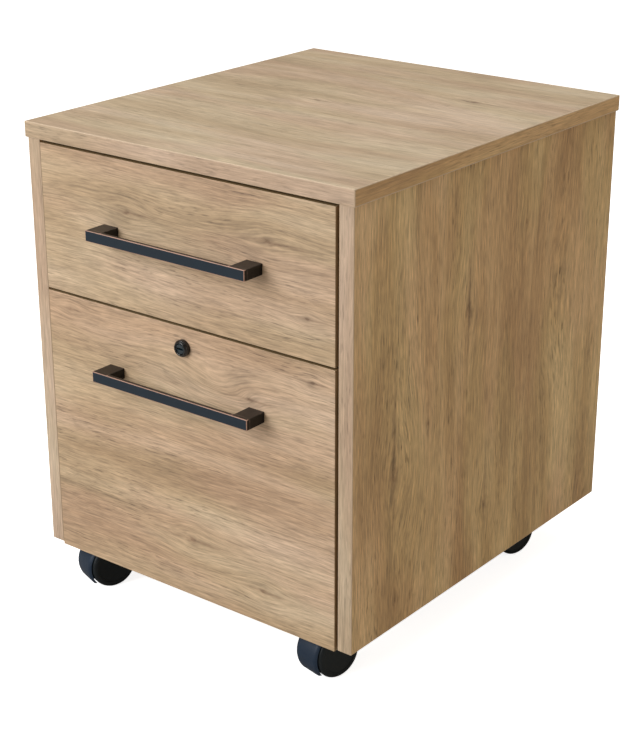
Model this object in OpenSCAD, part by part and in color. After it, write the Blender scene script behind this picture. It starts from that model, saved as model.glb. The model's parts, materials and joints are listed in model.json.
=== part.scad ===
// Rolling pedestal cabinet: a case of laminated board on four twin-wheel
// casters, with a box drawer over a locking file drawer.
//
// Frame: millimetres, +Z up, Z = 0 on the floor, X = 0 on the cabinet's
// centre plane, -Y towards the user. Y = 0 is midway between the handles'
// front faces and the back edge of the top.

/* [Case] */
// Width over the two side panels
case_w = 400; // [380:1:480]
// Depth of the side panels
case_d = 454; // [360:1:560]
// Height from the lower edges of the sides to the top surface
case_h = 455; // [440:1:520]
// Thickness of the laminated board
board = 16; // [15:0.1:20]
// How far the top stands out beyond the sides, front and back
overhang = 2; // [0:0.5:6]
// How far the sides hang down past the underside of the bottom panel
skirt = 9; // [4:1:12]

/* [Drawer fronts] */
// Height of the upper front
upper_front_h = 148.5; // [130:0.5:180]
// Gap around and between the fronts
front_gap = 2.5; // [1.5:0.5:4]
// How far the lower front hangs below the sides
front_drop = 1; // [0:0.5:3]

/* [Drawer boxes] */
// Thickness of the drawer sides and backs
box_board = 12; // [12:0.5:15]
// Thickness of the drawer bottoms
box_floor = 5; // [3:0.5:6]
// Height of the upper drawer's sides
upper_box_h = 100; // [70:1:105]
// Height of the drawer bottom above the lower edge of the sides
floor_rise = 8; // [6:1:12]
// Depth of the groove that holds the drawer bottom
groove = 6; // [4:0.5:7]

/* [Slides] */
// Width of one closed slide, from case side to drawer side
slide_w = 12.7; // [12.5:0.1:14]
// Height of the outer slide member
slide_h = 45; // [35:1:55]
// Sheet thickness of the slide members
slide_sheet = 1.2; // [1:0.1:1.5]
// Diameter of the bearing balls
ball_d = 2.8; // [2.5:0.1:3]

/* [Handles] */
// Overall length of a handle
handle_l = 198; // [150:1:240]
// How far a handle stands off its front
handle_out = 25.5; // [22:0.5:35]
// Height of the handle's bar
handle_h = 11; // [9:0.5:14]
// Thickness of the bar, front to back
bar_t = 4.5; // [4:0.5:8]
// Length of each end post along the bar
post_l = 19; // [14:0.5:24]
// Depth of the upper handle's middle below its front's upper edge
upper_handle_drop = 73; // [50:0.5:90]
// Depth of the lower handle's middle below its front's upper edge
lower_handle_drop = 66.5; // [48:0.5:120]

/* [Lock] */
// Diameter of the lock's collar on the front
collar_d = 17; // [15:0.5:19]
// How far the collar stands out of the front
collar_out = 6; // [3:0.5:8]
// Depth of the lock's axis below the lower front's upper edge
lock_drop = 20.5; // [18:0.5:24]
// Diameter of the plug that the key turns
plug_d = 10; // [8:0.5:11]

/* [Casters] */
// Diameter of a wheel
wheel_d = 50; // [40:1:60]
// Width over the two wheels
wheels_w = 38; // [36:1:44]
// Distance from the swivel axis to the axle
trail = 18; // [15:1:20]
// Distance from the inner faces of the sides to the swivel axes
swivel_inset_side = 34.5; // [30:0.5:60]
// Distance from the front edges of the sides to the front swivel axes
swivel_inset_front = 52; // [48:1:80]
// Distance from the back edges of the sides to the rear swivel axes
swivel_inset_back = 75; // [66:1:100]

/* [Hidden] */
$fn = 64;
// Overshoot of a cutting shape past the face that it opens
cut = 1;

// Levels in a caster, from the floor up to the underside of its panel
axle_z = wheel_d / 2;
hood_gap = 1.2;
hood_t = 2.3;
hood_in_r = wheel_d / 2 + hood_gap;
hood_out_r = hood_in_r + hood_t;
flange_rise = 2.5;
head_gap = 1.5;
plate_t = 2.5;
caster_top_z = axle_z + hood_out_r + flange_rise;
caster_h = caster_top_z + head_gap + plate_t;

// Case levels and planes
depth = handle_out + overhang + case_d + overhang;
side_front_y = -depth / 2 + handle_out + overhang;
side_back_y = side_front_y + case_d;
face_y = side_front_y - overhang;
front_back_y = face_y + board;
side_z = caster_h - skirt;
top_z = side_z + case_h;
under_top_z = top_z - board;
bottom_z = caster_h;
inner_w = case_w - 2 * board;
back_y = side_back_y - board;

// Drawer fronts
front_w = inner_w - 2 * front_gap;
upper_front_z = under_top_z - front_gap - upper_front_h;
lower_front_top_z = upper_front_z - front_gap;
lower_front_z = side_z - front_drop;
lower_front_h = lower_front_top_z - lower_front_z;

upper_handle_z = under_top_z - front_gap - upper_handle_drop;
lower_handle_z = lower_front_top_z - lower_handle_drop;

// The rail that crosses the case behind the gap between the fronts
rail_d = 60;
rail_lap = 3.5;
rail_gap = 4;
rail_z = lower_front_top_z - rail_lap;
rail_y = front_back_y + rail_gap;

// Drawer boxes
box_w = inner_w - 2 * slide_w;
box_back_space = 24;
box_d = back_y - front_back_y - box_back_space;
box_gap = 8;
under_rail_gap = 21;
upper_box_z = rail_z + board + box_gap;
lower_box_z = bottom_z + board + box_gap;
lower_box_h = rail_z - under_rail_gap - lower_box_z;
upper_slide_z = upper_box_z + 40;
lower_slide_z = lower_box_z + 60;

// Slides: three nested channels, with one row of balls in each gap
slide_y = rail_y;
slide_l = box_d;
ball_gap = 3;
outer_tip_x = box_w / 2 + 3.2;
middle_tip_out_x = inner_w / 2 - slide_sheet - 1;
middle_web_x = middle_tip_out_x - 3.5;
middle_tip_in_x = box_w / 2 + 4;
inner_tip_x = middle_web_x - 1.5;
middle_h = slide_h - 2 * (slide_sheet + ball_gap);
slide_inner_h = middle_h - 2 * (slide_sheet + ball_gap);
bearing_l = 120;
retainer_w = 4.4;
bearing_pitch = 20;

// Cam-lock joints
cam_setback = 34;
cam_d = 15;
cam_depth = 12.5;
box_cam_d = 12;
box_cam_depth = 9;
dowel_d = 6;
dowel_bite = 9;
bore_slack = 0.1;
top_joint_inset = 60;
back_joint_inset = 90;
joint_from_caster = 60;

// Screws
screw_d = 3.6;
screw_head_d = 7;
screw_head_h = 1.8;
screw_l = 11;
handle_screw_d = 4;
handle_screw_bite = 9;

// Lock
lock_z = lower_front_top_z - lock_drop;
barrel_d = 14;
barrel_end = 6;
nut_h = 3;
nut_across = 22;
strike_t = 1.5;
strike_w = 30;
cam_clear = 1;
lock_cam_t = 2;
lock_cam_y = rail_y + strike_t + cam_clear;
lock_cam_reach = rail_z - strike_t - cam_clear - lock_z;
strike_lip = 7.5;
key_slot = [7, 1.6, 4];

// Casters
axle_d = 6;
web_t = 12;
wheel_gap = 0.6;
hood_half = wheels_w / 2 - 1.5;
hood_round = 7;
hood_low_angle = -40;
hood_high_angle = 128;
plate_side = 42;
plate_hole = 31;
pin_d = 8;
run_clear = 0.05;
pin_bottom_z = axle_z + 11;
socket_floor = 6;
flange_d = 22;
flange_t = 3;
shoulder_r = 4;
swivel_x = inner_w / 2 - swivel_inset_side;
front_swivel_y = side_front_y + swivel_inset_front;
rear_swivel_y = side_back_y - swivel_inset_back;
// Each caster: swivel axis x, swivel axis y, and how far it has turned
casters = [
    [-swivel_x, front_swivel_y, -19.5],
    [swivel_x, front_swivel_y, -12.5],
    [-swivel_x, rear_swivel_y, -24],
    [swivel_x, rear_swivel_y, -15]
];

// ---------------------------------------------------------------- helpers

// Box between two opposite corners
module block(low, high) {
    translate(low) cube(high - low);
}

// Round rods along X and Y, starting at the origin
module x_rod(d, l) {
    rotate([0, 90, 0]) cylinder(d = d, h = l);
}

module y_rod(d, l) {
    rotate([-90, 0, 0]) cylinder(d = d, h = l);
}

// The child, and the same child on the other side of the centre plane
module both_sides() {
    children();
    mirror([1, 0, 0]) children();
}

// ------------------------------------------------------- cam-lock joints
// A joint's own frame: the two boards meet at z = 0, the dowel runs along
// +z through the middle of the board that holds the cam, and the cam's
// pocket opens on the face at x = t / 2.

module cam_lock(t, d, deep) {
    translate([t / 2 - deep, 0, cam_setback]) difference() {
        x_rod(d - 2 * bore_slack, deep);
        // Cross slot for the screwdriver
        for (turn = [0, 90])
            translate([deep - 1, 0, 0]) rotate([turn, 0, 0])
                block([0, -d / 4, -0.8], [cut + 1, d / 4, 0.8]);
    }
}

module cam_dowel(d) {
    translate([0, 0, -dowel_bite])
        cylinder(d = dowel_d, h = dowel_bite + cam_setback - d / 2);
}

module cam_bores(t, d, deep) {
    translate([t / 2 - deep, 0, cam_setback]) x_rod(d, deep + cut);
    translate([0, 0, -dowel_bite])
        cylinder(d = dowel_d + 2 * bore_slack, h = dowel_bite + cam_setback);
}

// The child at each joint of the top, and of the boards between the sides
module at_top_joints() {
    for (y = [side_front_y + top_joint_inset,
              side_back_y - top_joint_inset]) {
        translate([(inner_w + board) / 2, y, under_top_z])
            rotate([0, 180, 0]) children();
        translate([-(inner_w + board) / 2, y, under_top_z])
            rotate([180, 0, 0]) children();
    }
}

module at_level_joints(ys, z) {
    for (y = ys) {
        translate([inner_w / 2, y, z]) rotate([180, 90, 0]) children();
        translate([-inner_w / 2, y, z]) rotate([0, 90, 0]) children();
    }
}

module at_bottom_joints() {
    at_level_joints([front_swivel_y + joint_from_caster,
                     rear_swivel_y - joint_from_caster],
                    bottom_z + board / 2) children();
}

module at_rail_joints() {
    at_level_joints([rail_y + rail_d / 2], rail_z + board / 2) children();
}

module at_back_joints() {
    for (z = [bottom_z + back_joint_inset, under_top_z - back_joint_inset]) {
        translate([inner_w / 2, back_y + board / 2, z])
            rotate([90, 0, -90]) children();
        translate([-inner_w / 2, back_y + board / 2, z])
            rotate([-90, 0, -90]) children();
    }
}

module at_inner_joints() {
    at_bottom_joints() children();
    at_rail_joints() children();
    at_back_joints() children();
}

// The child at each joint between a drawer's front and its two sides
module at_box_joints(box_z, box_h) {
    for (z = [box_z + 26, box_z + box_h - 20]) {
        translate([(box_w - box_board) / 2, front_back_y, z])
            rotate([90, 0, 180]) children();
        translate([-(box_w - box_board) / 2, front_back_y, z])
            rotate([-90, 0, 0]) children();
    }
}

// ------------------------------------------------------------ pan screws
// A screw along +x: its head ends at x = 0 and its shank bites past it.

module pan_screw() {
    difference() {
        union() {
            translate([-screw_head_h, 0, 0]) x_rod(screw_head_d, screw_head_h);
            x_rod(screw_d, screw_l);
        }
        translate([-screw_head_h - cut, -2.5, -0.5]) cube([1.8, 5, 1]);
        translate([-screw_head_h - cut, -0.5, -2.5]) cube([1.8, 1, 5]);
    }
}

module pan_screw_bore() {
    translate([-slide_sheet - cut, 0, 0])
        x_rod(screw_d + 2 * bore_slack, screw_l + slide_sheet + 2 * cut);
}

// The child where each screw holds an outer slide member to a side panel
module at_case_slide_screws() {
    for (z = [upper_slide_z, lower_slide_z])
        for (along = [0.1, 0.5, 0.9])
            both_sides()
                translate([inner_w / 2 - slide_sheet,
                           slide_y + along * slide_l, z])
                    children();
}

// The child where each screw holds an inner slide member to a drawer side
module at_box_slide_screws(z) {
    for (along = [0.2, 0.8])
        both_sides()
            translate([box_w / 2 + slide_sheet,
                       slide_y + along * slide_l, z])
                mirror([1, 0, 0]) children();
}

// The child where each screw holds the strike to the rail
module at_strike_screws() {
    for (x = [-9, 9])
        translate([x, rail_y + 13, rail_z - strike_t])
            rotate([0, -90, 0]) children();
}

// ------------------------------------------------------------------ case

module top_panel() {
    color("burlywood") difference() {
        block([-case_w / 2 - overhang, face_y, under_top_z],
              [case_w / 2 + overhang, side_back_y + overhang, top_z]);
        at_top_joints() cam_bores(board, cam_d, cam_depth);
    }
}

module side_panel(side) {
    color("burlywood") difference() {
        translate([side > 0 ? inner_w / 2 : -case_w / 2, side_front_y, side_z])
            cube([board, case_d, case_h - board]);
        at_top_joints() cam_bores(board, cam_d, cam_depth);
        at_inner_joints() cam_bores(board, cam_d, cam_depth);
        at_case_slide_screws() pan_screw_bore();
    }
}

module back_panel() {
    color("burlywood") difference() {
        block([-inner_w / 2, back_y, bottom_z],
              [inner_w / 2, side_back_y, under_top_z]);
        at_back_joints() cam_bores(board, cam_d, cam_depth);
    }
}

module bottom_panel() {
    color("burlywood") difference() {
        block([-inner_w / 2, front_back_y + rail_gap, bottom_z],
              [inner_w / 2, back_y, bottom_z + board]);
        at_bottom_joints() cam_bores(board, cam_d, cam_depth);
        at_plate_holes() caster_screw_bore();
    }
}

module mid_rail() {
    color("burlywood") difference() {
        block([-inner_w / 2, rail_y, rail_z],
              [inner_w / 2, rail_y + rail_d, rail_z + board]);
        at_rail_joints() cam_bores(board, cam_d, cam_depth);
        at_strike_screws() pan_screw_bore();
    }
}

module carcass_cam_locks() {
    color("silver") {
        at_top_joints() cam_lock(board, cam_d, cam_depth);
        at_inner_joints() cam_lock(board, cam_d, cam_depth);
    }
}

module carcass_cam_dowels() {
    color("darkgray") {
        at_top_joints() cam_dowel(cam_d);
        at_inner_joints() cam_dowel(cam_d);
    }
}

// Angle plate under the rail, whose lip the lock's cam turns up behind
module lock_strike() {
    color("silver") difference() {
        union() {
            block([-strike_w / 2, rail_y, rail_z - strike_t],
                  [strike_w / 2, rail_y + 24, rail_z]);
            block([-strike_w / 2, rail_y, rail_z - strike_lip],
                  [strike_w / 2, rail_y + strike_t, rail_z]);
        }
        at_strike_screws() pan_screw_bore();
    }
}

module carcass_screws() {
    color("gainsboro") {
        at_case_slide_screws() pan_screw();
        at_strike_screws() pan_screw();
    }
}

// ---------------------------------------------------------------- slides

// Channel with its web at x = web_x and its flanges reaching to x = tip_x
module channel(web_x, tip_x, h, y, l, z) {
    web_side = web_x < tip_x ? web_x + slide_sheet : web_x - slide_sheet;
    translate([0, y, z]) {
        block([min(web_x, web_side), 0, -h / 2],
              [max(web_x, web_side), l, h / 2]);
        for (edge = [-h / 2, h / 2 - slide_sheet])
            block([min(web_x, tip_x), 0, edge],
                  [max(web_x, tip_x), l, edge + slide_sheet]);
    }
}

module slide_outer_members() {
    color("lightsteelblue") difference() {
        both_sides() for (z = [upper_slide_z, lower_slide_z])
            channel(inner_w / 2, outer_tip_x, slide_h, slide_y, slide_l, z);
        at_case_slide_screws() pan_screw_bore();
    }
}

// The middle member's flanges reach both ways from its web
module slide_middle_members(z) {
    color("lightsteelblue") both_sides() {
        channel(middle_web_x, middle_tip_in_x, middle_h, slide_y, slide_l, z);
        channel(middle_web_x, middle_tip_out_x, middle_h, slide_y, slide_l, z);
    }
}

module slide_inner_members(z) {
    color("lightsteelblue") difference() {
        both_sides()
            channel(box_w / 2, inner_tip_x, slide_inner_h, slide_y, slide_l, z);
        at_box_slide_screws(z) pan_screw_bore();
    }
}

// One row of balls in a plastic retainer strip, along +y
module bearing_row() {
    difference() {
        block([-retainer_w / 2, 0, -0.4], [retainer_w / 2, bearing_l, 0.4]);
        for (y = [bearing_pitch / 2 : bearing_pitch : bearing_l])
            translate([0, y, 0]) sphere(d = ball_d + 2 * run_clear);
    }
    for (y = [bearing_pitch / 2 : bearing_pitch : bearing_l])
        translate([0, y, 0]) sphere(d = ball_d);
}

// Rows outside the middle member at its back, and inside it at its front
module slide_bearings(z) {
    outer_row_z = middle_h / 2 + ball_gap / 2;
    inner_row_z = slide_inner_h / 2 + ball_gap / 2;
    color("dimgray") both_sides() for (up = [-1, 1]) {
        translate([middle_web_x + 1.2, slide_y + slide_l - bearing_l - 10,
                   z + up * outer_row_z]) bearing_row();
        translate([box_w / 2 + 3.5, slide_y + 10, z + up * inner_row_z])
            bearing_row();
    }
}

// --------------------------------------------------------------- drawers

// Where a handle's two screws go through its front
module at_handle_screws(z) {
    for (x = [-1, 1] * (handle_l - post_l) / 2)
        translate([x, front_back_y, z]) rotate([180, 0, 0]) children();
}

module handle_screw_bore() {
    y_rod(handle_screw_d + 2 * bore_slack, board + handle_screw_bite + 0.5);
}

module drawer_front(z, h, box_z, box_h, handle_z) {
    difference() {
        block([-front_w / 2, face_y, z], [front_w / 2, front_back_y, z + h]);
        at_box_joints(box_z, box_h)
            cam_bores(box_board, box_cam_d, box_cam_depth);
        at_handle_screws(handle_z) translate([0, -cut, 0]) handle_screw_bore();
        block([-box_w / 2 + box_board - groove, front_back_y - groove,
               box_z + floor_rise],
              [box_w / 2 - box_board + groove, front_back_y + cut,
               box_z + floor_rise + box_floor]);
    }
}

module drawer_side(side, box_z, box_h, slide_z) {
    color("whitesmoke") difference() {
        translate([side > 0 ? box_w / 2 - box_board : -box_w / 2,
                   front_back_y, box_z]) cube([box_board, box_d, box_h]);
        at_box_joints(box_z, box_h)
            cam_bores(box_board, box_cam_d, box_cam_depth);
        at_box_slide_screws(slide_z) pan_screw_bore();
        block([-box_w / 2 + box_board - groove, front_back_y - cut,
               box_z + floor_rise],
              [box_w / 2 - box_board + groove, front_back_y + box_d + cut,
               box_z + floor_rise + box_floor]);
    }
}

module drawer_back(box_z, box_h) {
    color("whitesmoke")
        block([-box_w / 2 + box_board, front_back_y + box_d - box_board,
               box_z + floor_rise + box_floor],
              [box_w / 2 - box_board, front_back_y + box_d, box_z + box_h]);
}

module drawer_floor(box_z) {
    side_play = 0.5;
    color("whitesmoke")
        block([-box_w / 2 + box_board - groove + side_play,
               front_back_y - groove + side_play, box_z + floor_rise],
              [box_w / 2 - box_board + groove - side_play,
               front_back_y + box_d, box_z + floor_rise + box_floor]);
}

module drawer_fittings(box_z, box_h) {
    color("silver") at_box_joints(box_z, box_h) {
        cam_lock(box_board, box_cam_d, box_cam_depth);
        cam_dowel(box_cam_d);
    }
}

// Square-section bar on two end posts, with a tapped hole in each post
module drawer_handle(z) {
    color("darkslategray") difference() {
        block([-handle_l / 2, face_y - handle_out, z - handle_h / 2],
              [handle_l / 2, face_y, z + handle_h / 2]);
        block([-handle_l / 2 + post_l, face_y - handle_out + bar_t,
               z - handle_h / 2 - cut],
              [handle_l / 2 - post_l, face_y + cut, z + handle_h / 2 + cut]);
        at_handle_screws(z) handle_screw_bore();
    }
}

module handle_screws(z) {
    color("gainsboro") at_handle_screws(z) difference() {
        union() {
            y_rod(handle_screw_d, board + handle_screw_bite);
            translate([0, -2.2, 0]) y_rod(8.5, 2.2);
        }
        translate([-3, -2.2 - cut, -0.6]) cube([6, 2, 1.2]);
        translate([-0.6, -2.2 - cut, -3]) cube([1.2, 2, 6]);
    }
}

module box_slide_screws(z) {
    color("gainsboro") at_box_slide_screws(z) pan_screw();
}

// Caps over the file drawer's sides, each with a rib for folder hooks
module file_rails() {
    cap_t = 1.5;
    cap_leg = 10;
    rib_h = 8;
    rib_t = 2.5;
    play = 0.2;
    box_top = lower_box_z + lower_box_h;
    color("silver") both_sides() difference() {
        union() {
            block([box_w / 2 - box_board - play - cap_t, front_back_y + 2,
                   box_top - cap_leg],
                  [box_w / 2 + play + cap_t, front_back_y + box_d - 14,
                   box_top + cap_t]);
            block([box_w / 2 - box_board - cap_t, front_back_y + 2, box_top],
                  [box_w / 2 - box_board - cap_t + rib_t,
                   front_back_y + box_d - 14, box_top + cap_t + rib_h]);
        }
        block([box_w / 2 - box_board - play, front_back_y,
               box_top - cap_leg - cut],
              [box_w / 2 + play, front_back_y + box_d, box_top]);
    }
}

module upper_front() {
    color("burlywood") drawer_front(upper_front_z, upper_front_h, upper_box_z,
                                    upper_box_h, upper_handle_z);
}

module lower_front() {
    color("burlywood") difference() {
        drawer_front(lower_front_z, lower_front_h, lower_box_z,
                     lower_box_h, lower_handle_z);
        translate([0, face_y - cut, lock_z])
            y_rod(barrel_d + 2 * bore_slack, board + 2 * cut);
    }
}

// ------------------------------------------------------------------ lock

// Collar and barrel, bored for the plug
module lock_housing() {
    collar_face_d = collar_d - 3.5;
    plug_clear = 2 * run_clear;
    color("black") translate([0, face_y, lock_z]) difference() {
        rotate([-90, 0, 0]) rotate_extrude() polygon([
            [0, -collar_out], [collar_face_d / 2, -collar_out],
            [collar_d / 2, -collar_out + 2.5], [collar_d / 2, 0],
            [barrel_d / 2, 0], [barrel_d / 2, board + barrel_end - 3],
            [0, board + barrel_end - 3]
        ]);
        translate([0, -collar_out - cut, 0])
            y_rod(plug_d + plug_clear, collar_out + board + barrel_end);
    }
}

module lock_nut() {
    color("silver") translate([0, front_back_y, lock_z]) difference() {
        rotate([-90, 0, 0])
            cylinder(d = nut_across / cos(30), h = nut_h, $fn = 6);
        translate([0, -cut, 0])
            y_rod(barrel_d + 2 * bore_slack, nut_h + 2 * cut);
    }
}

// The plug starts just inside the collar, with a slot for the key
module lock_plug() {
    plug_in = 0.8;
    plug_l = lock_cam_y - face_y + collar_out - plug_in;
    color("dimgray") translate([0, face_y - collar_out + plug_in, lock_z])
        difference() {
            y_rod(plug_d, plug_l);
            translate([-key_slot[0] / 2, -cut, -key_slot[1] / 2])
                cube([key_slot[0], key_slot[2] + cut, key_slot[1]]);
            translate([0, plug_l - 8, 0]) y_rod(3 + 2 * bore_slack, 8 + cut);
        }
}

// Flat bar with a round tip, so that no corner catches the strike
module lock_cam() {
    cam_w = 12;
    tip_x = lock_cam_reach - cam_w / 2;
    color("silver") translate([0, lock_cam_y, lock_z]) difference() {
        union() {
            y_rod(cam_w, lock_cam_t);
            block([0, 0, -cam_w / 2], [tip_x, lock_cam_t, cam_w / 2]);
            translate([tip_x, 0, 0]) y_rod(cam_w, lock_cam_t);
        }
        translate([0, -cut, 0]) y_rod(3 + 2 * bore_slack, lock_cam_t + 2 * cut);
    }
}

module lock_cam_screw() {
    color("gainsboro") translate([0, lock_cam_y + lock_cam_t, lock_z])
        difference() {
            union() {
                y_rod(6, 2);
                translate([0, -lock_cam_t - 7, 0]) y_rod(3, lock_cam_t + 7);
            }
            translate([-2, 1.2, -0.5]) cube([4, 2, 1]);
        }
}

// --------------------------------------------------------------- casters

// The child at each caster's swivel axis, turned as that caster stands
module at_caster(which) {
    translate([casters[which][0], casters[which][1], 0])
        rotate([0, 0, casters[which][2]]) children();
}

module at_plate_holes() {
    for (c = casters)
        for (x = [-1, 1] * plate_hole / 2)
            for (y = [-1, 1] * plate_hole / 2)
                translate([c[0] + x, c[1] + y, bottom_z - plate_t])
                    rotate([0, -90, 0]) children();
}

module caster_screw_bore() {
    translate([-cut, 0, 0])
        x_rod(screw_d + 2 * bore_slack, screw_l + plate_t + cut);
}

module caster_plates() {
    color("silver") difference() {
        for (c = casters)
            translate([c[0] - plate_side / 2, c[1] - plate_side / 2,
                       bottom_z - plate_t])
                cube([plate_side, plate_side, plate_t]);
        at_plate_holes() caster_screw_bore();
    }
}

module caster_plate_screws() {
    color("gainsboro") at_plate_holes() pan_screw();
}

module caster_swivel_pins() {
    color("silver") for (c = casters)
        translate([c[0], c[1], pin_bottom_z])
            cylinder(d = pin_d, h = bottom_z - plate_t - pin_bottom_z);
}

// Half-outline of the hood across its width: radius against x, round-edged
module hood_section(r_in, r_out, half) {
    intersection() {
        translate([0, -half]) square([r_out, 2 * half]);
        union() {
            translate([0, -half + hood_round])
                square([r_out, 2 * (half - hood_round)]);
            for (side = [-1, 1])
                translate([r_out - hood_round, side * (half - hood_round)])
                    circle(r = hood_round);
            translate([0, -half]) square([r_out - hood_round, 2 * half]);
        }
        translate([r_in, -half]) square([r_out - r_in, 2 * half]);
    }
}

// Wedge of a disc seen from the side, from one angle to the other
module hood_sector(r) {
    steps = 8;
    polygon(concat([[0, 0]], [
        for (i = [0:steps])
            let (a = hood_low_angle
                     + (hood_high_angle - hood_low_angle) * i / steps)
            [-2 * r * cos(a), 2 * r * sin(a)]
    ]));
}

// Hood over the front of the wheels, the web between them, and the socket
module caster_body() {
    difference() {
        union() {
            translate([0, -trail, axle_z]) {
                intersection() {
                    rotate([0, 90, 0]) rotate_extrude($fn = 96)
                        hood_section(hood_in_r, hood_out_r, hood_half);
                    rotate([90, 0, 90]) translate([0, 0, -wheels_w / 2])
                        linear_extrude(wheels_w) hood_sector(hood_out_r);
                }
                rotate([90, 0, 90]) translate([0, 0, -web_t / 2])
                    linear_extrude(web_t) intersection() {
                        circle(r = hood_in_r + 1);
                        union() {
                            hood_sector(hood_out_r);
                            circle(r = 9);
                        }
                    }
            }
            translate([0, 0, pin_bottom_z - socket_floor])
                cylinder(d = web_t,
                         h = caster_top_z - pin_bottom_z + socket_floor);
            block([-web_t / 2, -trail, pin_bottom_z - socket_floor],
                  [web_t / 2, 0, axle_z + hood_in_r - hood_t]);
            translate([0, 0, caster_top_z - flange_t])
                cylinder(d = flange_d, h = flange_t);
        }
        translate([0, 0, pin_bottom_z - 1])
            cylinder(d = pin_d + 2 * run_clear, h = caster_top_z);
        translate([-web_t, -trail, axle_z])
            x_rod(axle_d + 2 * run_clear, 2 * web_t);
    }
}

module caster_axle() {
    half = wheels_w / 2 - 2.2;
    color("silver") translate([-half, -trail, axle_z]) x_rod(axle_d, 2 * half);
}

// Wheel with a round outer shoulder and a shallow dish in its outer face
module caster_wheel(side) {
    inner = web_t / 2 + wheel_gap;
    outer = wheels_w / 2;
    r = wheel_d / 2;
    dish_r = r - shoulder_r - 2;
    color("black") translate([0, -trail, axle_z]) scale([side, 1, 1])
        rotate([0, 90, 0]) difference() {
            rotate_extrude($fn = 96) union() {
                translate([0, inner]) square([r, outer - shoulder_r - inner]);
                translate([0, inner]) square([r - shoulder_r, outer - inner]);
                translate([r - shoulder_r, outer - shoulder_r])
                    circle(r = shoulder_r);
            }
            translate([0, 0, outer - 0.8]) cylinder(r = dish_r, h = cut + 1);
            translate([0, 0, inner - cut])
                cylinder(d = axle_d + 2 * run_clear, h = outer - 2 - inner + cut);
        }
}

module caster_body_of(which) {
    color("black") at_caster(which) caster_body();
}

// -------------------------------------------------------------- the nodes

top_panel();
side_panel(-1);  // left_side_panel
side_panel(1);  // right_side_panel
back_panel();
bottom_panel();
mid_rail();
carcass_cam_locks();
carcass_cam_dowels();
lock_strike();
carcass_screws();
slide_outer_members();
caster_plates();
caster_swivel_pins();
caster_plate_screws();

upper_front();
drawer_side(-1, upper_box_z, upper_box_h, upper_slide_z);  // upper_left_side
drawer_side(1, upper_box_z, upper_box_h, upper_slide_z);  // upper_right_side
drawer_back(upper_box_z, upper_box_h);  // upper_back
drawer_floor(upper_box_z);  // upper_floor
drawer_handle(upper_handle_z);  // upper_handle
handle_screws(upper_handle_z);  // upper_handle_screws
drawer_fittings(upper_box_z, upper_box_h);  // upper_fittings
slide_inner_members(upper_slide_z);  // upper_slide_inner_members
box_slide_screws(upper_slide_z);  // upper_slide_screws

lower_front();
drawer_side(-1, lower_box_z, lower_box_h, lower_slide_z);  // lower_left_side
drawer_side(1, lower_box_z, lower_box_h, lower_slide_z);  // lower_right_side
drawer_back(lower_box_z, lower_box_h);  // lower_back
drawer_floor(lower_box_z);  // lower_floor
drawer_handle(lower_handle_z);  // lower_handle
handle_screws(lower_handle_z);  // lower_handle_screws
drawer_fittings(lower_box_z, lower_box_h);  // lower_fittings
slide_inner_members(lower_slide_z);  // lower_slide_inner_members
box_slide_screws(lower_slide_z);  // lower_slide_screws
file_rails();
lock_housing();
lock_nut();

lock_plug();
lock_cam();
lock_cam_screw();

slide_middle_members(upper_slide_z);  // upper_slide_middle_members
slide_bearings(upper_slide_z);  // upper_slide_bearings
slide_middle_members(lower_slide_z);  // lower_slide_middle_members
slide_bearings(lower_slide_z);  // lower_slide_bearings

caster_body_of(0);  // front_left_caster_body
at_caster(0) caster_axle();  // front_left_caster_axle
at_caster(0) caster_wheel(1);  // front_left_inner_wheel
at_caster(0) caster_wheel(-1);  // front_left_outer_wheel
caster_body_of(1);  // front_right_caster_body
at_caster(1) caster_axle();  // front_right_caster_axle
at_caster(1) caster_wheel(-1);  // front_right_inner_wheel
at_caster(1) caster_wheel(1);  // front_right_outer_wheel
caster_body_of(2);  // rear_left_caster_body
at_caster(2) caster_axle();  // rear_left_caster_axle
at_caster(2) caster_wheel(1);  // rear_left_inner_wheel
at_caster(2) caster_wheel(-1);  // rear_left_outer_wheel
caster_body_of(3);  // rear_right_caster_body
at_caster(3) caster_axle();  // rear_right_caster_axle
at_caster(3) caster_wheel(-1);  // rear_right_inner_wheel
at_caster(3) caster_wheel(1);  // rear_right_outer_wheel
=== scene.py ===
# %% [markdown]
# # A rolling pedestal cabinet: its looks
#
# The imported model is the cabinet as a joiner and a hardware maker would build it: boards, slides, cams,
# screws, handles, a lock and four casters, each on the body that it moves with. This lesson gives that
# model its looks. We load it first, because every position below is read from it.

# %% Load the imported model
import json
import math

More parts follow.
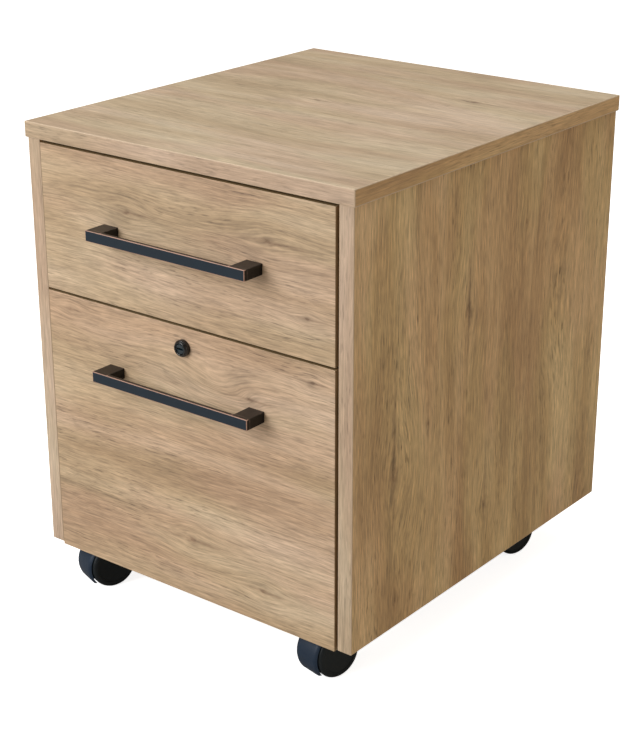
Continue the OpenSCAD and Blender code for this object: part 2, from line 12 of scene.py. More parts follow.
import bpy
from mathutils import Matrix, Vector

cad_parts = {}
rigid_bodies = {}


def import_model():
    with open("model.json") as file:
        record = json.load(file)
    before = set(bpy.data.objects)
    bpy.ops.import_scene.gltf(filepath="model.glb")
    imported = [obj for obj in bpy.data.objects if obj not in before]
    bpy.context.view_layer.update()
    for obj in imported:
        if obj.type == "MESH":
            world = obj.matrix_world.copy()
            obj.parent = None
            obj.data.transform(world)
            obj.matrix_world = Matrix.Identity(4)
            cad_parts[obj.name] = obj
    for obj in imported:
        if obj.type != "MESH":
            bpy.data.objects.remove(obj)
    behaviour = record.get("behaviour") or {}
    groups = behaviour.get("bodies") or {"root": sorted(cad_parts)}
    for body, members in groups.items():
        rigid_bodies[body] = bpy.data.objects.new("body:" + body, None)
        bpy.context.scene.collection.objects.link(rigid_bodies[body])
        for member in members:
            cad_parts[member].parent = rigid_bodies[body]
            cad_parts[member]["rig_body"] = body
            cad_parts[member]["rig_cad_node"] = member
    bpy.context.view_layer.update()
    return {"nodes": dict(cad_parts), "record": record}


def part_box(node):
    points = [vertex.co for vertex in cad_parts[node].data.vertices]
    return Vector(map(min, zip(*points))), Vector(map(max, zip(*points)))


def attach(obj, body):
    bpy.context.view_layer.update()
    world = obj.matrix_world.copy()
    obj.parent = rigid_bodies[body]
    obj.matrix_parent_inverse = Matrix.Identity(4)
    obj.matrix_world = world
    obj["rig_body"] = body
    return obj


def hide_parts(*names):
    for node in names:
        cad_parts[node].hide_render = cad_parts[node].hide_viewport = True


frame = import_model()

BODY_OF = {node: body for body, nodes in frame["record"]["behaviour"]["bodies"].items() for node in nodes}

# %% [markdown]
# ## The camera
#
# The picture is taken from the right, a little above the cabinet, so that the two fronts, the top and the
# right side all show. A long lens keeps the boards from looking stretched. The camera is turned by given
# angles: 90 degrees would look level, and less looks down.

# %% Camera at the front right
camera = bpy.data.objects.new("camera", bpy.data.cameras.new("camera"))
bpy.context.scene.collection.objects.link(camera)
camera.location = (1.0553, -1.3583, 0.9068)
LOOK_DOWN, TURN = 21.77, 37.9
camera.rotation_euler = (math.radians(90 - LOOK_DOWN), 0, math.radians(TURN))
camera.data.lens = 83.7
bpy.context.scene.camera = camera
print("camera", tuple(camera.location), "lens", camera.data.lens)

# %% [markdown]
# ## Picking pieces of a mesh in code
#
# With no window there is no clicking, so two small helpers do what a click does. One makes an object the
# only selected one. The other selects the faces or edges of the edited mesh that pass a test of place.
# Everything is deselected first, because an operator acts on all that is selected.

# %% Selection helpers
ROUND_BELOW = math.radians(32)
SAME_PLACE = 1e-6
NEAR = 1e-5


def only(piece):
    """Makes piece the one selected and active object."""
    bpy.ops.object.select_all(action="DESELECT")
    piece.select_set(True)
    bpy.context.view_layer.objects.active = piece
    return piece


def pick_faces(piece, test):
    """In edit mode, selects just the faces whose centre and normal pass the test."""
    bpy.ops.mesh.select_mode(type="FACE")
    bpy.ops.mesh.select_all(action="DESELECT")
    bpy.ops.object.mode_set(mode="OBJECT")
    for face in piece.data.polygons:
        face.select = bool(test(face.center, face.normal))
    bpy.ops.object.mode_set(mode="EDIT")


def pick_edges(piece, test):
    """In edit mode, selects just the edges whose two ends pass the test."""
    bpy.ops.mesh.select_mode(type="EDGE")
    bpy.ops.mesh.select_all(action="DESELECT")
    bpy.ops.object.mode_set(mode="OBJECT")
    points = piece.data.vertices
    for edge in piece.data.edges:
        edge.select = bool(test(points[edge.vertices[0]].co, points[edge.vertices[1]].co))
    bpy.ops.object.mode_set(mode="EDIT")


# %% [markdown]
# ## Shader maths as Python expressions
#
# A wood or a worn metal is many small sums of noise. Written as nodes by hand they are hard to read, so a
# small class wraps a socket and turns + - * / into Math nodes. Another class holds one finish, and its
# node() method makes any other node: its settings first, then the values or links of its sockets.

# %% Numbers that vary over a surface
class Num:
    def __init__(self, finish, socket):
        self.finish, self.socket = finish, socket

    def math(self, operation, *others):
        made = self.finish.node("ShaderNodeMath", {"operation": operation}, dict(enumerate([self, *others])))
        return Num(self.finish, made.outputs[0])

    def flipped(self, operation, other):
        made = self.finish.node("ShaderNodeMath", {"operation": operation}, {0: other, 1: self})
        return Num(self.finish, made.outputs[0])

    def __add__(self, other):
        return self.math("ADD", other)

    def __sub__(self, other):
        return self.math("SUBTRACT", other)

    def __mul__(self, other):
        return self.math("MULTIPLY", other)

    def __truediv__(self, other):
        return self.math("DIVIDE", other)

    def __rsub__(self, other):
        return self.flipped("SUBTRACT", other)

    __radd__ = __add__
    __rmul__ = __mul__

    def step(self, low, high):
        """0 below low, 1 above high and smooth between."""
        made = self.finish.node("ShaderNodeMapRange", {"interpolation_type": "SMOOTHSTEP"},
                                {"Value": self, "From Min": low, "From Max": high})
        return Num(self.finish, made.outputs[0])


# %% One finish and its nodes
class Finish:
    def __init__(self, name):
        self.material = bpy.data.materials.new(name)
        self.material.use_nodes = True
        self.tree = self.material.node_tree
        self.shader = self.tree.nodes["Principled BSDF"]

    def node(self, kind, settings=None, inputs=None):
        made = self.tree.nodes.new(kind)
        for key, value in (settings or {}).items():
            if key == "stops":
                ramp = made.color_ramp
                while len(ramp.elements) < len(value):
                    ramp.elements.new(0.5)
                for element, (place, colour) in zip(ramp.elements, value):
                    element.position, element.color = place, (*colour, 1)
            else:
                setattr(made, key, value)
        for key, value in (inputs or {}).items():
            self.put(made.inputs[key], value)
        return made

    def put(self, socket, value):
        """Links a socket to a Num or another socket, or sets its value."""
        if isinstance(value, Num):
            value = value.socket
        if isinstance(value, bpy.types.NodeSocket):
            self.tree.links.new(value, socket)
        elif hasattr(value, "__len__") and socket.type == "RGBA":
            socket.default_value = (*value, 1)
        else:
            socket.default_value = value

    def place(self):
        """The three object coordinates, in metres."""
        where = self.node("ShaderNodeTexCoord").outputs["Object"]
        parts = self.node("ShaderNodeSeparateXYZ", None, {0: where})
        return [Num(self, parts.outputs[i]) for i in range(3)]

    def vector(self, x, y, z):
        return self.node("ShaderNodeCombineXYZ", None, {0: x, 1: y, 2: z}).outputs[0]

    def noise(self, vector, detail=2.0, roughness=0.5, scale=1.0):
        """Noise around 0.5."""
        made = self.node("ShaderNodeTexNoise", None,
                         {"Vector": vector, "Scale": scale, "Detail": detail, "Roughness": roughness})
        return Num(self, made.outputs["Fac"])

    def ramp(self, value, *stops):
        return self.node("ShaderNodeValToRGB", {"stops": stops}, {0: value}).outputs[0]

    def mix(self, share, first, second):
        made = self.node("ShaderNodeMix", {"data_type": "RGBA"}, {0: share, 6: first, 7: second})
        return made.outputs[2]

    def shade(self, colour, amount):
        """A colour made lighter or darker by a varying number."""
        made = self.node("ShaderNodeVectorMath", {"operation": "SCALE"}, {0: colour, "Scale": amount})
        return made.outputs[0]

    def bump(self, height, depth):
        made = self.node("ShaderNodeBump", None, {"Height": height, "Distance": depth, "Strength": 1.0})
        return made.outputs[0]

    def done(self, **inputs):
        for key, value in inputs.items():
            self.put(self.shader.inputs[key.replace("_", " ")], value)
        return self.material


# %% [markdown]
# ## Oak laminate
#
# The boards are chipboard with a printed oak paper: broad soft bands, finer streaks, short dark pores and
# a few knots that the grain flows around. The print could be a picture, but noise that is stretched along
# the grain keeps every board different and stays sharp at any distance. The trick is a flow coordinate:
# the distance across the grain, pushed sideways by slow noise and by each knot. Every streak is drawn
# along it, so all of them bend together, as real grain does.

# %% The oak print
def oak(name, along, across, seed, knots=(), figures=(), light=1.0, tint=(1, 1, 1), swirl=0.008, crisp=1.0,
        bold=1.15):
    """knots are (place along, place across, size); figures are (along, across, length, width, push)."""
    f = Finish(name)
    xyz = f.place()
    grain, cross = xyz[along], xyz[across]
    depth = xyz[3 - along - across]
    slow = f.noise(f.vector(grain * 3.2, cross * 7.5, depth * 3 + seed), 1.5)
    ripple = f.noise(f.vector(grain * 12.0, cross * 26.0, depth * 9 + seed + 5), 2.0)
    flow = cross + (slow - 0.5) * swirl * 2 + (ripple - 0.5) * 0.0030
    for at_grain, at_cross, length, width, push in figures:
        u, v = (grain - at_grain) / length, (cross - at_cross) / width
        flow = flow + ((u * u + v * v) * -1.0).math("EXPONENT") * push
    dark_knots = None
    for at_grain, at_cross, size in knots:
        u, v = (grain - at_grain) / (3.4 * size), (cross - at_cross) / (1.9 * size)
        near = ((u * u + v * v) * -1.0).math("EXPONENT")
        flow = flow - (cross - at_cross) * near * 0.70
        ragged = f.noise(f.vector(grain * 130, cross * 260, seed), 2.0) * 2.2 - 1.1
        s, t = (grain - at_grain) / (0.95 * size), (cross - at_cross) / (0.34 * size)
        spot = ((s * s + t * t + ragged) * -1.2).math("EXPONENT").math("MINIMUM", 1.0)
        s, t = (grain - at_grain - size * 0.9) / (3.4 * size), (cross - at_cross) / (0.20 * size)
        tail = ((s * s + t * t + ragged * 0.5) * -1.0).math("EXPONENT") * 0.72
        spot = spot.math("MAXIMUM", tail).math("MINIMUM", 1.0)
        dark_knots = spot if dark_knots is None else dark_knots.math("MAXIMUM", spot)
    bands = f.noise(f.vector(grain * 2.4, flow * 26, depth * 4 + seed + 1), 3.0, 0.55)
    streaks = f.noise(f.vector(grain * 7, flow * 130, depth * 30 + seed + 2), 3.0, 0.6)
    threads = f.noise(f.vector(grain * 19, flow * 380, depth * 60 + seed + 3), 2.0, 0.65)
    fibres = f.noise(f.vector(grain * 55, flow * 850, depth * 90 + seed + 4), 2.0, 0.6)
    clouds = f.noise(f.vector(grain * 5, cross * 9, depth * 5 + seed + 6), 2.0)
    crowd = f.noise(f.vector(grain * 5, flow * 45, seed + 7), 2.0).step(0.44, 0.62)
    pores = f.noise(f.vector(grain * 60, flow * 560, seed + 8), 1.0).step(0.58, 0.68) * crowd
    mineral = f.noise(f.vector(grain * 3.0, flow * 105, seed + 9), 2.0).step(0.60, 0.76)
    tone = 0.5 + (bands * 0.66 + clouds * 0.34 - 0.5) * bold
    colour = f.ramp(tone, (0.30, (0.376, 0.258, 0.152)), (0.46, (0.462, 0.332, 0.204)),
                    (0.56, (0.508, 0.378, 0.243)), (0.72, (0.580, 0.450, 0.308)))
    blush = f.noise(f.vector(grain * 4, flow * 17, seed + 10), 1.0).step(0.40, 0.62)
    pinker = f.node("ShaderNodeVectorMath", {"operation": "MULTIPLY"}, {0: colour, 1: (1.015, 0.960, 1.005)})
    colour = f.mix(blush, colour, pinker.outputs[0])
    level = (1.0 + ((streaks - 0.5) * 0.26 + (threads - 0.5) * 0.80 + (fibres - 0.5) * 1.15) * crisp
             - pores * 0.30 * crisp - mineral * 0.17)
    if dark_knots is not None:
        colour = f.mix(dark_knots * 0.74, colour, (0.165, 0.094, 0.055))
    colour = f.node("ShaderNodeVectorMath", {"operation": "MULTIPLY"},
                    {0: f.shade(colour, level * light), 1: tint}).outputs[0]
    height = fibres * 0.6 + threads * 0.4 - pores * 1.2
    return f.done(Base_Color=colour, Roughness=0.50 + (threads - 0.5) * 0.20 + pores * 0.12,
                  Normal=f.bump(height, 0.00006), Specular_IOR_Level=0.42)


# %% [markdown]
# Each board carries three finishes: the printed face, the edging tape whose grain runs along the edge,
# and the tiny rounded arris where the tape is trimmed flush. On the case the arris is painted paler, partly
# the trimmed tape's own colour and partly a painted highlight; the drawer fronts get no painted highlight,
# so their arrises keep the finish of the face, and their edging tape is painted darker as painted shade.

# %% Board finishes
X, Y, Z = 0, 1, 2


def paler_arris_with_painted_highlight(name, colour):
    f = Finish(name)
    x, y, z = f.place()
    speck = f.noise(f.vector(x * 90, y * 90, z * 90), 2.0)
    return f.done(Base_Color=f.shade(f.vector(*colour), 0.86 + speck * 0.28), Roughness=0.50)


# The arris is paler than the tape: partly the trimmed tape's own colour, partly a painted highlight along
# the edge.
arris = paler_arris_with_painted_highlight("oak_arris_painted_highlight", (0.55, 0.415, 0.285))
print("arris finish", arris.name)

# %% [markdown]
# ## Boards with eased edges
#
# A real board never has a razor edge: the tape is trimmed to a radius under a millimetre, and that line
# catches the light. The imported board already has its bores, so we copy it, merge its loose triangles,
# dissolve the flat ones into whole faces, and bevel just the twelve outer edges, found by their place on
# the board's box. A fresh cube would lose the bores that the fittings sit in.

# %% Easing a board
def merged_copy(node, name, finishes):
    """A copy of a CAD node as one whole mesh with its finishes, left in edit mode."""
    only(frame["nodes"][node])
    bpy.ops.object.duplicate()
    piece = bpy.context.object
    piece.name = name
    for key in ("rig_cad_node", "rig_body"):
        del piece[key]
    piece.data.materials.clear()
    for finish in finishes:
        piece.data.materials.append(finish)
    bpy.ops.object.mode_set(mode="EDIT")
    bpy.ops.mesh.select_all(action="SELECT")
    bpy.ops.mesh.remove_doubles(threshold=SAME_PLACE)
    bpy.ops.mesh.dissolve_limited(angle_limit=math.radians(0.5))
    return piece


def stands_for(piece, node):
    """The piece rides with the node's body and is shown in its place."""
    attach(piece, BODY_OF[node])
    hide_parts(node)
    return piece


ON_BOX = 2e-5
ARRIS = 2


def eased_board(node, finishes, radius):
    """A copy of a CAD board with its outer edges rounded; finishes are face, edge and arris."""
    low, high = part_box(node)
    piece = merged_copy(node, node + "_board", finishes)

    def on_arris(a, b):
        shared = 0
        for axis in range(3):
            for side in (low, high):
                if max(abs(a[axis] - side[axis]), abs(b[axis] - side[axis])) < ON_BOX:
                    shared += 1
        return shared >= 2

    pick_edges(piece, on_arris)
    bpy.ops.mesh.bevel(offset=radius, segments=3, affect="EDGES", clamp_overlap=True, material=ARRIS)
    bpy.ops.object.mode_set(mode="OBJECT")
    size = high - low
    thin = min(range(3), key=lambda axis: size[axis])
    for face in piece.data.polygons:
        if face.material_index != ARRIS:
            face.material_index = 0 if abs(face.normal[thin]) > 0.9 else 1
    return stands_for(piece, node)


# %% The case and the fronts
EDGES = {}
# Painted light: a warm yellow tint standing in for the warm fill on the right, laid on the side panels, on
# edges that face sideways and on the edging round the fronts.
PAINTED_WARM_SIDE_LIGHT = (1.06, 0.985, 0.74)


def edge_oak(along, across, shaded=False):
    """The edging tape's finish for edges that run along one axis and are thin across another; shaded ones
    carry painted shade.
    """
    key = (along, across, shaded)
    if key not in EDGES:
        # Painted light: edges round the fronts (shaded) are painted at half brightness and warm, as painted
        # shade in the gaps; edges along Y, which face the sides, get the painted warm side light.
        tint = PAINTED_WARM_SIDE_LIGHT if shaded or along == Y else (1.0, 1.05, 1.14)
        EDGES[key] = oak(f"edging_oak_{len(EDGES)}", along, across, 140.0 + 9 * along + across,
                         light=0.50 if shaded else 1.07, tint=tint, swirl=0.003, crisp=0.75)
    return EDGES[key]


def oak_board(node, along, across, seed, ease=0.0009, shaded=False, **look):
    face = oak(node + "_oak", along, across, seed, **look)
    thin = 3 - along - across
    edges = [edge_oak(axis, thin, shaded) for axis in (along, across)]
    # The fronts' arrises keep the face finish, without the painted highlight that the case's arrises carry.
    piece = eased_board(node, [face, edges[0], face if shaded else arris, edges[1]], ease)
    for polygon in piece.data.polygons:
        if polygon.material_index == 1 and abs(polygon.normal[along]) > 0.9:
            polygon.material_index = 3
    print(piece.name, len(piece.data.polygons), "faces")
    return piece


# Painted light: the top is tinted cooler, standing in for the cool light from above.
oak_board("top_panel", X, Y, 11.0, light=0.97, tint=(0.985, 1.02, 1.06), crisp=0.75,
          knots=[(0.10, 0.12, 0.010), (-0.03, 0.03, 0.008)],
          figures=[(0.03, -0.10, 0.16, 0.04, 0.015), (-0.08, 0.12, 0.20, 0.05, -0.015)])
# shaded=True: the edging tape round each front is painted darker and warm, as painted shade in the gaps.
oak_board("upper_front", X, Z, 23.0, ease=0.0004, shaded=True,
          knots=[(0.106, 0.441, 0.011), (-0.067, 0.437, 0.008), (0.150, 0.378, 0.004)],
          figures=[(0.02, 0.445, 0.09, 0.018, 0.007), (-0.13, 0.38, 0.10, 0.03, -0.006)])
oak_board("lower_front", X, Z, 37.0, ease=0.0004, shaded=True, light=1.06,
          knots=[(0.082, 0.283, 0.006), (0.004, 0.113, 0.010), (0.095, 0.085, 0.008), (-0.152, 0.322, 0.005),
                 (0.156, 0.318, 0.005)],
          figures=[(0.045, 0.283, 0.055, 0.024, 0.019), (-0.11, 0.30, 0.09, 0.03, 0.009),
                   (0.10, 0.18, 0.16, 0.03, -0.008)])
# The side panels take the painted warm side light, a tint standing in for the warm fill on the right.
side_look = {"tint": PAINTED_WARM_SIDE_LIGHT, "crisp": 1.25, "bold": 1.7, "light": 1.03}
oak_board("left_side_panel", Z, Y, 51.0, knots=[(0.20, 0.05, 0.010)], **side_look)
oak_board("right_side_panel", Z, Y, 65.0, **side_look,
          knots=[(0.345, -0.030, 0.016), (0.410, 0.070, 0.006), (0.215, -0.150, 0.018),
                 (0.250, -0.095, 0.006), (0.125, 0.010, 0.010), (0.08, -0.145, 0.006)],
          figures=[(0.33, 0.12, 0.13, 0.03, 0.022), (0.20, -0.10, 0.16, 0.03, -0.012)])
oak_board("back_panel", Z, X, 79.0, knots=[(0.30, -0.08, 0.012)],
          figures=[(0.28, 0.06, 0.15, 0.05, 0.02)])
oak_board("bottom_panel", X, Y, 93.0)
oak_board("mid_rail", X, Y, 107.0)

# %% [markdown]
# ## Drawer boxes
#
# The boxes inside are plain off-white laminate with a faint dust-hiding texture, and their floors are
# thin hardboard, lacquered white above and left brown below. They only show when a drawer is pulled, but
# then they fill the view, so they get eased edges too.

# %% Drawer box finishes
def white_laminate(name, base):
    f = Finish(name)
    x, y, z = f.place()
    pearl = f.noise(f.vector(x * 700, y * 700, z * 700), 2.0)
    slow = f.noise(f.vector(x * 9, y * 9, z * 9), 2.0)
    level = 0.96 + (pearl - 0.5) * 0.10 + (slow - 0.5) * 0.05
    return f.done(Base_Color=f.shade(f.vector(*base), level), Roughness=0.46 + (pearl - 0.5) * 0.16,
                  Normal=f.bump(pearl, 0.00005))


def hardboard(name):
    f = Finish(name)
    x, y, z = f.place()
    fluff = f.noise(f.vector(x * 420, y * 420, z * 420), 4.0, 0.65)
    colour = f.ramp(fluff, (0.3, (0.20, 0.115, 0.06)), (0.5, (0.29, 0.18, 0.10)), (0.7, (0.38, 0.25, 0.15)))
    return f.done(Base_Color=colour, Roughness=0.85, Normal=f.bump(fluff, 0.0002))


box_face = white_laminate("box_laminate", (0.80, 0.79, 0.76))
box_edge = white_laminate("box_edging", (0.74, 0.73, 0.70))
raw_board = hardboard("raw_hardboard")
for drawer in ("upper", "lower"):
    for board in ("left_side", "right_side", "back", "floor"):
        piece = eased_board(f"{drawer}_{board}", [box_face, box_edge, box_edge], 0.0005)
        if board == "floor":
            piece.data.materials[1] = raw_board
            for face in piece.data.polygons:
                if face.normal.z < -0.9:
                    face.material_index = 1
print("box boards done")

# %% [markdown]
# ## Zinc, nylon and lacquer
#
# Hardware is zinc plated: cool grey with faint drawn lines and dull blotches. The casters are black nylon
# with a fine moulded grain; their hoods and wheels are tinted blue, a painted reflection of cool
# surroundings.
# Each is one shader whose noise also goes into its roughness, which is what the eye reads as the material.

# %% Hardware finishes
def zinc(name, stretch=(60, 60, 60), base=(0.56, 0.57, 0.58)):
    f = Finish(name)
    x, y, z = f.place()
    blotch = f.noise(f.vector(x * 55, y * 55, z * 55), 3.0, 0.6)
    lines = f.noise(f.vector(x * stretch[0], y * stretch[1], z * stretch[2]), 2.0)
    colour = f.shade(f.vector(*base), 0.84 + blotch * 0.20 + lines * 0.12)
    return f.done(Base_Color=colour, Metallic=1.0, Roughness=0.24 + blotch * 0.20 + lines * 0.10,
                  Normal=f.bump(lines, 0.00002))


def nylon(name, base, rough, gloss=0.5, grain_depth=0.00004):
    f = Finish(name)
    x, y, z = f.place()
    grain = f.noise(f.vector(x * 1500, y * 1500, z * 1500), 2.0)
    scuff = f.noise(f.vector(x * 120, y * 120, z * 120), 4.0, 0.7)
    colour = f.shade(f.vector(*base), 0.80 + scuff * 0.4)
    return f.done(Base_Color=colour, Roughness=rough + (scuff - 0.5) * 0.16 + (grain - 0.5) * 0.10,
                  Normal=f.bump(grain, grain_depth), Specular_IOR_Level=gloss)


drawn_zinc = zinc("drawn_zinc", (900, 25, 900))
cast_zinc = zinc("cast_zinc", (420, 420, 420), (0.50, 0.50, 0.51))
plated_zinc = zinc("plated_zinc", (300, 300, 300), (0.62, 0.63, 0.66))
# Painted reflection: the black nylon of hoods and wheels is given a blue cast.
hood_nylon_painted_reflection = nylon("hood_nylon_painted_reflection", (0.0065, 0.0205, 0.0450), 0.50, 0.36)
wheel_nylon_painted_reflection = nylon("wheel_nylon_painted_reflection", (0.0045, 0.0085, 0.0110), 0.50, 0.30)
retainer_nylon = nylon("retainer_plastic", (0.35, 0.36, 0.37), 0.5)
print("hardware finishes ready")

# %% [markdown]
# ## Handle metal
#
# The handles are square steel bars in a dark bronze finish, nearly black, with the arrises rubbed back to
# copper. The rub is strongest along the front edges, where hands go, and it is never even, so noise along
# the bar breaks it up. The colour also follows which way a face points: faces to the front are painted
# bluish as a painted reflection, and faces to the sides are painted darker as painted shade.

# %% Bronze-black with rubbed copper arrises
def bronze(name):
    f = Finish(name)
    x, y, z = f.place()
    brushed = f.noise(f.vector(x * 60, y * 900, z * 900), 2.0)
    cloud = f.noise(f.vector(x * 70, y * 90, z * 90), 3.0, 0.6)
    # Painted light by facing: bluish painted reflection on front faces, darker painted shade on side faces.
    facing = f.node("ShaderNodeSeparateXYZ", None, {0: f.node("ShaderNodeTexCoord").outputs["Normal"]})
    painted_side_shade = Num(f, facing.outputs[0]).math("ABSOLUTE").step(0.5, 0.9)
    painted_front_reflection = (Num(f, facing.outputs[1]) * -1.0).step(0.5, 0.9)
    colour = f.mix(painted_side_shade, (0.0160, 0.0100, 0.0070), (0.0030, 0.0018, 0.0010))
    colour = f.mix(painted_front_reflection, colour, (0.0060, 0.0165, 0.0290))
    colour = f.shade(colour, 0.75 + cloud * 0.35 + brushed * 0.15)
    return f.done(Base_Color=colour, Metallic=0.0, Roughness=0.40 + (cloud - 0.5) * 0.2,
                  Specular_IOR_Level=0.30, Normal=f.bump(brushed, 0.00001))


def rubbed(name, front):
    f = Finish(name)
    x, y, z = f.place()
    along = f.noise(f.vector(x * 40, y * 160, z * 160), 3.0, 0.6)
    near_front = 1.0 - (y - front).step(0.001, 0.004)
    worn = near_front * (0.70 + along.step(0.25, 0.50) * 0.30) + along.step(0.52, 0.66) * 0.15
    colour = f.mix(worn.math("MINIMUM", 1.0), (0.016, 0.013, 0.012), (0.46, 0.27, 0.20))
    return f.done(Base_Color=colour, Roughness=0.50)


handle_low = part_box("upper_handle")[0]
bar_metal_painted_light = bronze("bronze_black")
bar_edge = rubbed("rubbed_copper", handle_low.y)
print("handle metal ready")

# %% [markdown]
# ## The two handles
#
# Each handle is a bar with a post at each end. We start from a cube the size of the bar, bisect it where
# the posts begin, and extrude the two end faces back to the drawer. That leaves one clean shell, so a
# single bevel can ease every arris and give the copper finish to just those faces.

# %% Modelling a handle
BAR_THICK = 0.0045
POST_WIDE = 0.019


def handle(node):
    low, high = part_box(node)
    middle = (low + high) / 2
    bpy.ops.object.select_all(action="DESELECT")
    bpy.ops.mesh.primitive_cube_add(size=1, location=(middle.x, low.y + BAR_THICK / 2, middle.z),
                                    scale=(high.x - low.x, BAR_THICK, high.z - low.z))
    piece = bpy.context.object
    piece.name = node + "_bar"
    bpy.ops.object.transform_apply(location=True, rotation=True, scale=True)
    piece.data.materials.append(bar_metal_painted_light)
    piece.data.materials.append(bar_edge)
    bpy.ops.object.mode_set(mode="EDIT")
    for x in (low.x + POST_WIDE, high.x - POST_WIDE):
        bpy.ops.mesh.select_all(action="SELECT")
        bpy.ops.mesh.bisect(plane_co=(x, 0, 0), plane_no=(1, 0, 0))
    for side in (-1, 1):
        pick_faces(piece, lambda centre, normal: normal.y > 0.9 and
                   side * (centre.x - middle.x) > (high.x - low.x) / 2 - POST_WIDE)
        bpy.ops.mesh.extrude_region_move(
            TRANSFORM_OT_translate={"value": (0, high.y - low.y - BAR_THICK, 0)})
    bpy.ops.mesh.select_all(action="SELECT")
    bpy.ops.mesh.normals_make_consistent(inside=False)
    pick_edges(piece, lambda a, b: min(a.y, b.y) < high.y - NEAR and not (
        abs(a.x - b.x) < SAME_PLACE and abs(abs(a.x - middle.x) - (high.x - low.x) / 2 + POST_WIDE) < NEAR
        and max(a.y, b.y) < low.y + BAR_THICK - NEAR))
    bpy.ops.mesh.bevel(offset=0.0006, segments=2, affect="EDGES", material=1)
    bpy.ops.object.mode_set(mode="OBJECT")
    print(piece.name, len(piece.data.polygons), "faces")
    return stands_for(piece, node)


handle("upper_handle")
handle("lower_handle")

# %% [markdown]
# ## The lock
#
# The collar is a turned part, so it is drawn the way a lathe works: one vertex is extruded from point to
# point along the profile, and the profile is spun about the lock's axis. The lip around the plug and the
# shoulder outside it are what catch the light. The plug keeps its imported shape, with its key slot, and
# only loses its sharp rim; its black enamel is tinted blue as a painted reflection.

# %% Enamel and the turned collar
def enamel(name, base, rough):
    f = Finish(name)
    x, y, z = f.place()
    peel = f.noise(f.vector(x * 900, y * 900, z * 900), 1.0)
    return f.done(Base_Color=base, Roughness=rough + peel * 0.10, Normal=f.bump(peel, 0.00001))


def lathe(name, centre, profile, finish):
    """A ring turned about an axis along Y through the centre; the profile is (radius, y) points."""
    bpy.ops.object.select_all(action="DESELECT")
    bpy.ops.mesh.primitive_plane_add(size=0.001, location=(0, 0, 0))
    piece = bpy.context.object
    piece.name = name
    piece.data.materials.append(finish)
    bpy.ops.object.mode_set(mode="EDIT")
    bpy.ops.mesh.select_mode(type="VERT")
    bpy.ops.mesh.select_all(action="SELECT")
    bpy.ops.mesh.merge(type="CENTER")
    here = Vector((0, 0, 0))
    for number, (radius, y) in enumerate([*profile, profile[0]]):
        there = Vector((centre.x + radius, y, centre.z))
        if number == 0:
            bpy.ops.transform.translate(value=there)
        else:
            bpy.ops.mesh.extrude_region_move(TRANSFORM_OT_translate={"value": there - here})
        here = there
    bpy.ops.mesh.select_all(action="SELECT")
    bpy.ops.mesh.spin(steps=72, angle=math.radians(360), center=centre, axis=(0, 1, 0))
    bpy.ops.mesh.select_all(action="SELECT")
    bpy.ops.mesh.remove_doubles(threshold=SAME_PLACE)
    bpy.ops.mesh.normals_make_consistent(inside=False)
    bpy.ops.object.mode_set(mode="OBJECT")
    bpy.ops.object.shade_smooth_by_angle(angle=ROUND_BELOW)
    return piece


lock_low, lock_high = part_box("lock_housing")
lock_centre = (lock_low + lock_high) / 2
front, rim = lock_low.y, (lock_high.x - lock_low.x) / 2
bore, barrel = 0.00505, 0.0070
profile = [(bore, front + 0.0012), (bore + 0.0005, front + 0.0003), (bore + 0.0011, front),
           (rim - 0.0019, front), (rim - 0.0014, front + 0.0003), (rim - 0.0010, front + 0.0010),
           (rim - 0.0009, front + 0.0017), (rim - 0.0003, front + 0.0019), (rim, front + 0.0026),
           (rim, front + 0.0060), (barrel, front + 0.0060), (barrel, lock_high.y), (bore, lock_high.y)]
collar = lathe("lock_collar", lock_centre, profile, enamel("collar_enamel", (0.0055, 0.0060, 0.0065), 0.07))
stands_for(collar, "lock_housing")

plug_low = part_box("lock_plug")[0]
# Painted reflection: the plug's black enamel is tinted blue.
plug = merged_copy("lock_plug", "lock_plug_turned", [enamel("plug_enamel_painted_reflection", (0.0085, 0.0200, 0.0280), 0.16)])
pick_edges(plug, lambda a, b: max(a.y, b.y) < plug_low.y + NEAR)
bpy.ops.mesh.bevel(offset=0.0003, segments=2, affect="EDGES")
bpy.ops.object.mode_set(mode="OBJECT")
bpy.ops.object.shade_smooth_by_angle(angle=ROUND_BELOW)
stands_for(plug, "lock_plug")
print("lock", len(collar.data.polygons), len(plug.data.polygons), "faces")

# %% [markdown]
# ## Casters
#
# The hoods and wheels come out of a mould, and a mould always leaves a small radius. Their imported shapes
# are copied, every sharp edge gets that radius, and the round faces are shaded smooth.

# %% Moulded radii
def moulded(node, name, finish, radius):
    piece = merged_copy(node, name, [finish])
    bpy.ops.mesh.select_mode(type="EDGE")
    bpy.ops.mesh.select_all(action="DESELECT")
    bpy.ops.mesh.edges_select_sharp(sharpness=math.radians(40))
    bpy.ops.mesh.bevel(offset=radius, segments=2, affect="EDGES", clamp_overlap=True)
    bpy.ops.object.mode_set(mode="OBJECT")
    bpy.ops.object.shade_smooth_by_angle(angle=ROUND_BELOW)
    return stands_for(piece, node)


for corner in ("front_left", "front_right", "rear_left", "rear_right"):
    hood = moulded(f"{corner}_caster_body", f"{corner}_hood", hood_nylon_painted_reflection, 0.0005)
    for which in ("inner", "outer"):
        moulded(f"{corner}_{which}_wheel", f"{corner}_{which}_tyre", wheel_nylon_painted_reflection, 0.0006)
    print(hood.name, len(hood.data.polygons), "faces")

# %% [markdown]
# ## Finishes for the hardware that keeps its shape
#
# Slides, cams, screws, plates and pins are exact already, so they keep their meshes. Only their material
# slots change.

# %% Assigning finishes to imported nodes
def finish_node(node, material):
    slots = frame["nodes"][node].data.materials
    slots.clear()
    slots.append(material)


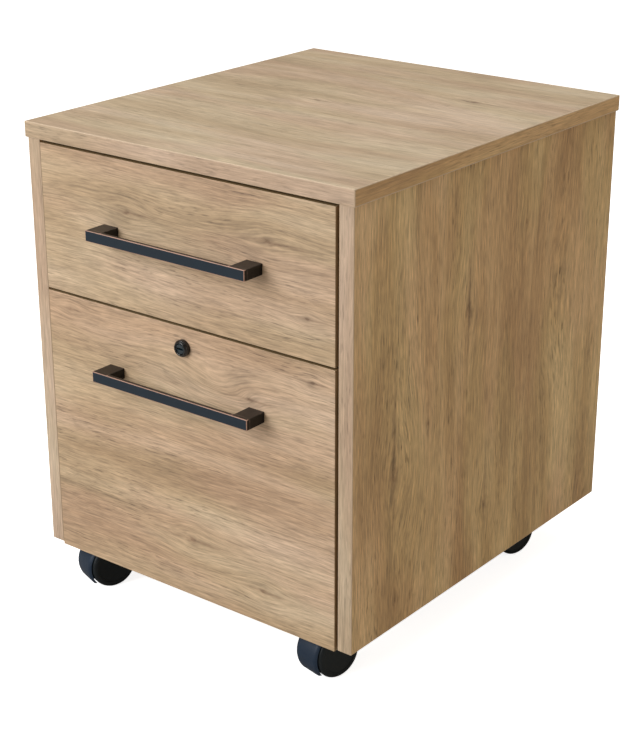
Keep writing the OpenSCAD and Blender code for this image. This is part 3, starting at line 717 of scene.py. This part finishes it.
for node in frame["nodes"]:
    if "slide" in node and "screws" not in node and "bearings" not in node:
        finish_node(node, drawn_zinc)
    elif "bearings" in node:
        finish_node(node, retainer_nylon)
    elif "caster_body" in node:
        finish_node(node, hood_nylon_painted_reflection)
    elif "wheel" in node:
        finish_node(node, wheel_nylon_painted_reflection)
    elif "screw" in node or "axle" in node or "plates" in node or "pins" in node:
        finish_node(node, plated_zinc)
    elif node in ("lock_housing", "lock_plug"):
        finish_node(node, collar.data.materials[0])
    elif any(word in node for word in ("cam", "fittings", "strike", "nut", "rails")):
        finish_node(node, cast_zinc)
print("packed hardware finished")

# %% [markdown]
# ## Floor and light
#
# A pale floor and soft boxes keep the attention on the cabinet. The front and the top get a large cool
# box from the left, and the right side only gets a weak warm fill, so that it turns a deeper brown.

# %% Studio
bpy.ops.object.select_all(action="DESELECT")
bpy.ops.mesh.primitive_plane_add(size=60, location=(0, 0, 0))
floor = bpy.context.object
floor.name = "studio_floor"
paper = Finish("studio_paper")
paper.done(Base_Color=(0.93, 0.93, 0.93), Roughness=0.9, Specular_IOR_Level=0.1)
seen = paper.node("ShaderNodeLightPath").outputs["Is Camera Ray"]
dim = paper.node("ShaderNodeBsdfDiffuse", None, {"Color": (0.56, 0.53, 0.49)})
glow = paper.node("ShaderNodeEmission", None, {"Color": (1, 1, 1), "Strength": 0.86})
both = paper.node("ShaderNodeAddShader", None, {0: paper.shader.outputs[0], 1: glow.outputs[0]})
choice = paper.node("ShaderNodeMixShader", None, {0: seen, 1: dim.outputs[0], 2: both.outputs[0]})
paper.tree.links.new(choice.outputs[0], paper.tree.nodes["Material Output"].inputs[0])
floor.data.materials.append(paper.material)

world = bpy.data.worlds.new("studio_air")
bpy.context.scene.world = world
world.use_nodes = True
sky = world.node_tree
backdrop = sky.nodes["Background"]
backdrop.inputs[0].default_value = (0.90, 0.80, 0.68, 1)
backdrop.inputs[1].default_value = 0.30
white = sky.nodes.new("ShaderNodeBackground")
white.inputs[0].default_value = (1, 1, 1, 1)
white.inputs[1].default_value = 1.0
path = sky.nodes.new("ShaderNodeLightPath")
pick = sky.nodes.new("ShaderNodeMixShader")
sky.links.new(path.outputs["Is Camera Ray"], pick.inputs[0])
sky.links.new(backdrop.outputs[0], pick.inputs[1])
sky.links.new(white.outputs[0], pick.inputs[2])
sky.links.new(pick.outputs[0], sky.nodes["World Output"].inputs[0])


def soft_box(name, place, aim, size, power, colour):
    light = bpy.data.objects.new(name, bpy.data.lights.new(name, "AREA"))
    bpy.context.scene.collection.objects.link(light)
    light.location = place
    light.rotation_euler = (Vector(aim) - Vector(place)).to_track_quat("-Z", "Y").to_euler()
    light.data.shape = "SQUARE"
    light.data.size = size
    light.data.energy = power
    light.data.color = colour
    return light


soft_box("front_box", (-1.1, -2.4, 1.5), (0, 0, 0.25), 1.7, 60, (0.975, 0.985, 1.0))
soft_box("top_box", (-0.1, 0.2, 2.6), (0, 0, 0.3), 2.4, 43, (0.93, 0.985, 1.0))
soft_box("side_fill", (2.6, 0.5, 0.6), (0, 0, 0.2), 1.8, 12, (1.0, 0.90, 0.74))
bpy.context.scene.view_settings.view_transform = "Standard"
print("studio ready")
